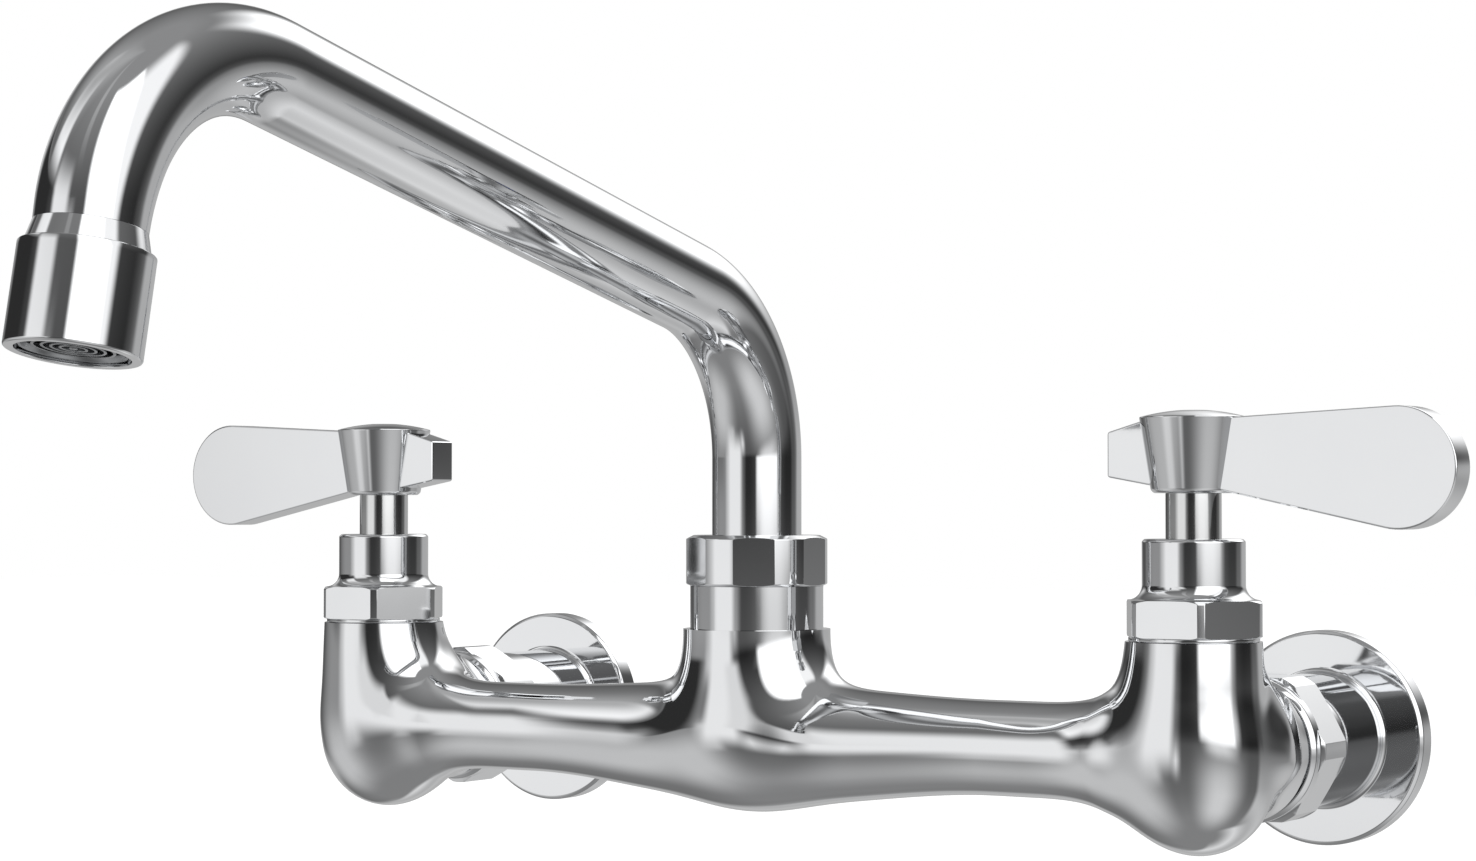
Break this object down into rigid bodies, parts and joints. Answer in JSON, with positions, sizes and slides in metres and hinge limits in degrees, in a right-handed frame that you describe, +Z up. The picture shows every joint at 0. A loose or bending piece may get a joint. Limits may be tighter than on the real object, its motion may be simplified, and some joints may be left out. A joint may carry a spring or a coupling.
{
  "type": "wall faucet",
  "caption": "Wall-mounted commercial kitchen faucet: cast bridge body on two wall unions, lever handles on quarter-turn valves and a swivel spout with an aerator.",
  "frame": {"origin": "midway between the two inlets, on the plane of the finished wall", "axes": "+X from the hot inlet to the cold one, +Y into the wall, +Z up"},
  "size_m": [0.3138, 0.2835, 0.1575],
  "materials": {
    "chrome_cast": "polished chrome plate on cast brass",
    "chrome_turned": "polished chrome plate on turned brass",
    "chrome_tube": "polished chrome plate on drawn brass tube",
    "brass": "turned brass",
    "stem_metal": "chrome-plated turned brass",
    "steel": "stainless steel",
    "insert_steel": "satin stainless steel rings",
    "rubber": "moulded black rubber",
    "ptfe": "white fluoropolymer",
    "acetal": "white moulded acetal",
    "ceramic": "lapped alumina ceramic",
    "index_red": "plain red moulded plastic, no letter",
    "index_blue": "plain blue moulded plastic, no letter"
  },
  "bodies": {
    "base": {"body": "chrome_cast", "spout_nut": "chrome_turned", "spout_bearing": "acetal", "spout_lower_washer": "ptfe", "hot_inlet_flange": "chrome_cast", "hot_union_nut": "chrome_turned", "hot_union_ring": "steel", "hot_union_washer": "rubber", "hot_bonnet": "chrome_turned", "hot_bonnet_seal": "chrome_turned", "hot_cartridge_housing": "acetal", "hot_fixed_disc": "ceramic", "hot_seat_seal": "rubber", "hot_thrust_washer": "ptfe", "cold_inlet_flange": "chrome_cast", "cold_union_nut": "chrome_turned", "cold_union_ring": "steel", "cold_union_washer": "rubber", "cold_bonnet": "chrome_turned", "cold_bonnet_seal": "chrome_turned", "cold_cartridge_housing": "acetal", "cold_fixed_disc": "ceramic", "cold_seat_seal": "rubber", "cold_thrust_washer": "ptfe"},
    "hot_valve": {"hot_moving_disc": "ceramic", "hot_stem": "stem_metal", "hot_stem_o_rings": "rubber", "hot_handle": "chrome_cast", "hot_handle_screw": "steel", "hot_index_button": "chrome_turned", "hot_index_dot": "index_red"},
    "cold_valve": {"cold_moving_disc": "ceramic", "cold_stem": "stem_metal", "cold_stem_o_rings": "rubber", "cold_handle": "chrome_cast", "cold_handle_screw": "steel", "cold_index_button": "chrome_turned", "cold_index_dot": "index_blue"},
    "spout": {"spout_tube": "chrome_tube", "spout_collar": "brass", "spout_o_rings": "rubber", "outlet_adapter": "chrome_turned", "aerator_housing": "chrome_turned", "aerator_washer": "rubber", "aerator_flow_plate": "acetal", "aerator_screen": "steel", "aerator_insert": "insert_steel"}
  },
  "joints": [
    {"name": "hot_handle_turn", "type": "hinge", "parent": "base", "child": "hot_valve", "pos_m": [-0.1016, -0.0695, 0.056], "axis": [0, 0, 1], "range_deg": [0, 90]},
    {"name": "cold_handle_turn", "type": "hinge", "parent": "base", "child": "cold_valve", "pos_m": [0.1016, -0.0695, 0.056], "axis": [0, 0, 1], "range_deg": [-90, 0]},
    {"name": "spout_swivel", "type": "hinge", "parent": "base", "child": "spout", "pos_m": [0, -0.0695, 0.03], "axis": [0, 0, 1], "range_deg": [-100, 100]}
  ]
}
